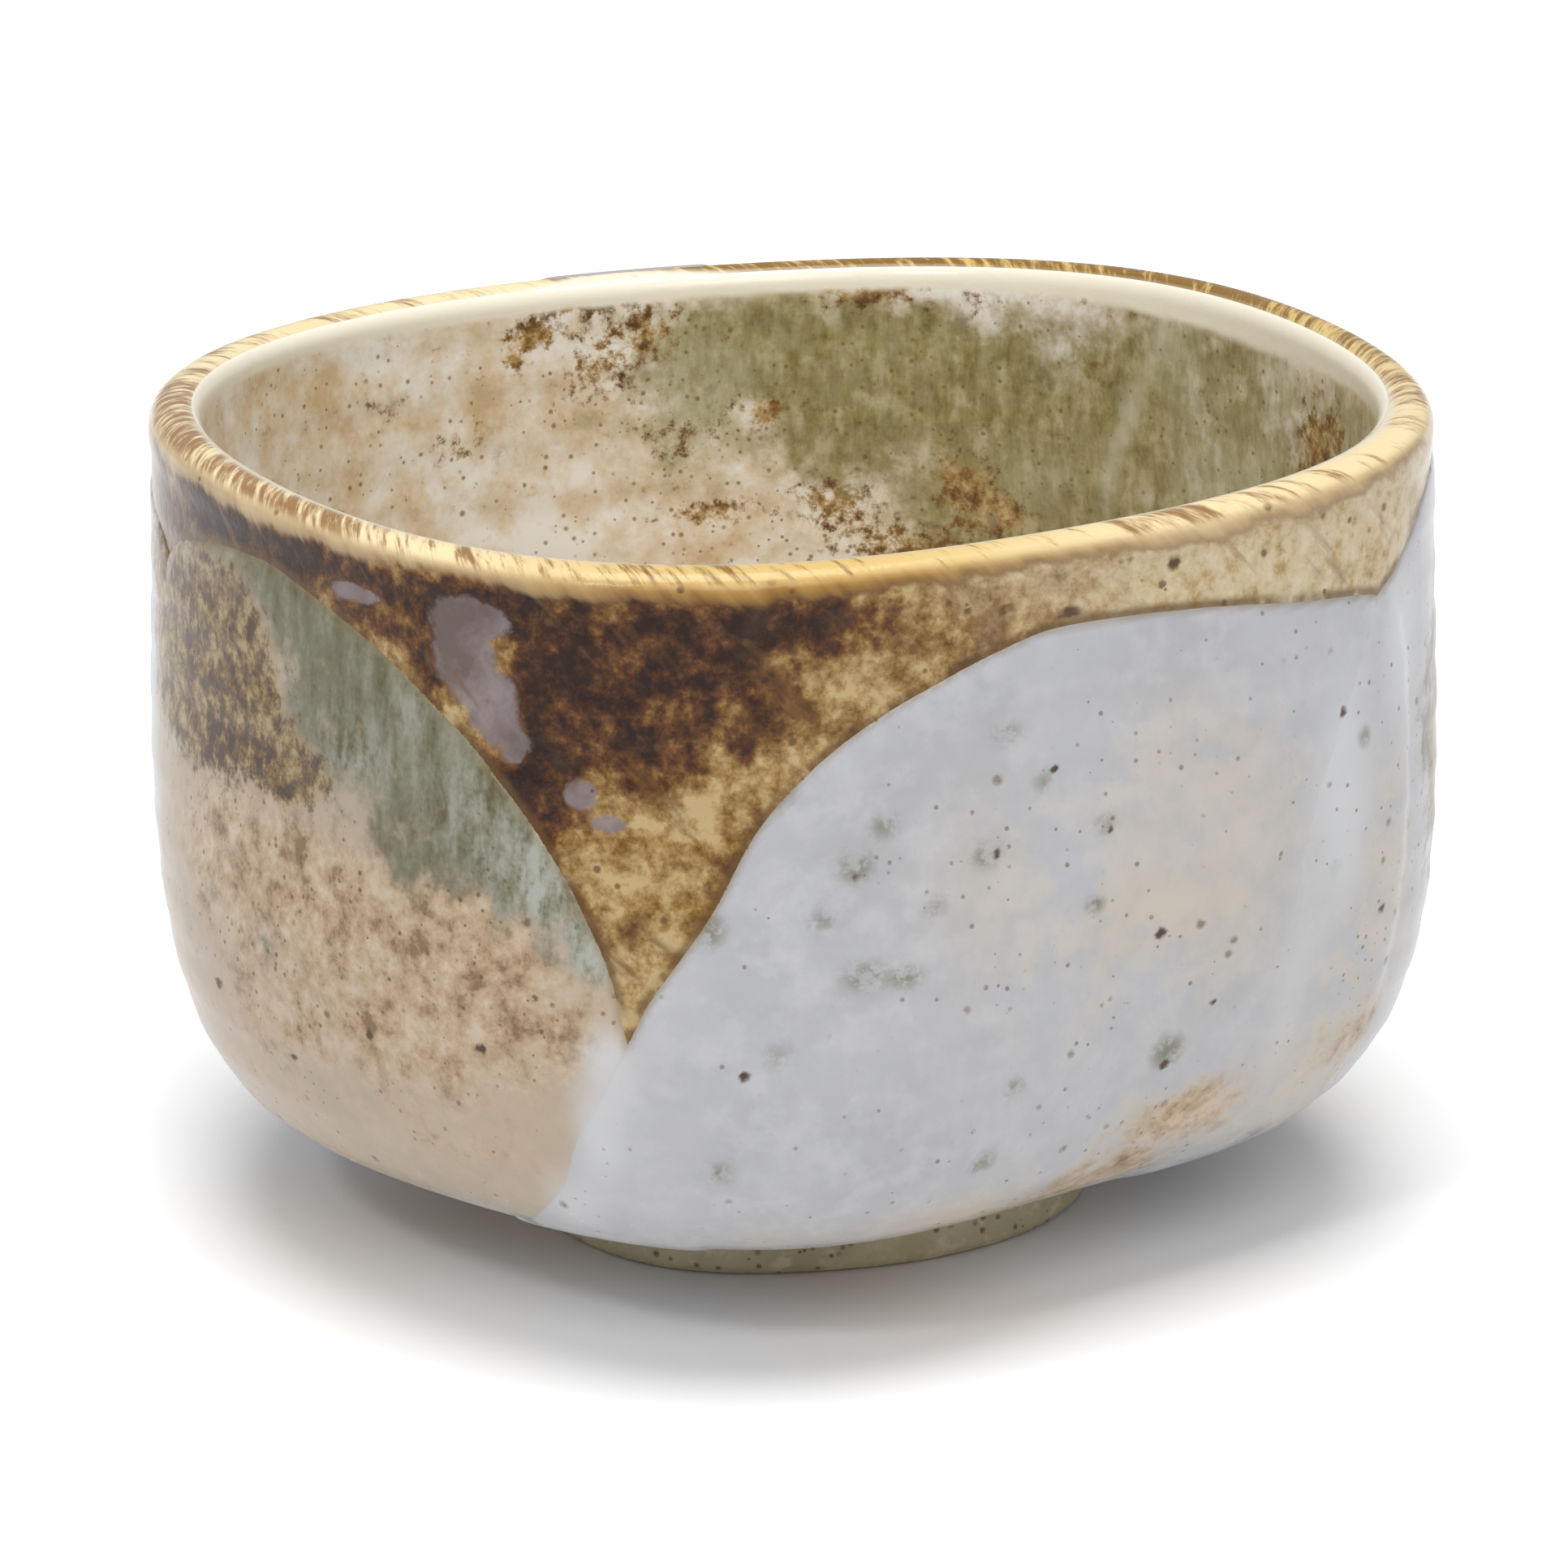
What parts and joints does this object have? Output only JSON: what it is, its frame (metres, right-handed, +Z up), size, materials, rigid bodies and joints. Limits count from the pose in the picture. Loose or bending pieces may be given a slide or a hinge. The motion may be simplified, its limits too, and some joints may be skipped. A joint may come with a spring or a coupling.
{
  "type": "matcha bowl",
  "caption": "Hand-formed stoneware tea bowl (chawan) with a softly squared wall, a low foot ring and overlapping dipped glazes.",
  "frame": {"origin": "on the surface that the foot stands on, under the middle of the bowl's bounding box", "axes": "+Z up; -Y is the front, where two dips leave the long brown V; +X is to the right of it"},
  "size_m": [0.1228, 0.1202, 0.08],
  "materials": {
    "fired_clay": "unglazed fired stoneware clay, matt and fine-grained",
    "iron_glaze": "gloss iron glaze, ochre to dark brown",
    "liner_glaze": "gloss cream to olive glaze with iron specks",
    "foot_glaze": "thin grey-olive glaze with dark specks",
    "white_glaze": "thick gloss off-white glaze with iron specks",
    "celadon_glaze": "thick gloss glaze, grey-green over peach, with iron specks"
  },
  "bodies": {
    "root": {"stoneware_body": "fired_clay", "foot_ring": "fired_clay", "iron_base_glaze": "iron_glaze", "liner_glaze": "liner_glaze", "foot_glaze": "foot_glaze", "white_dip_front_right": "white_glaze", "white_dip_front_left": "celadon_glaze", "white_dip_back_right": "white_glaze", "white_dip_back_left": "white_glaze"}
  },
  "joints": []
}
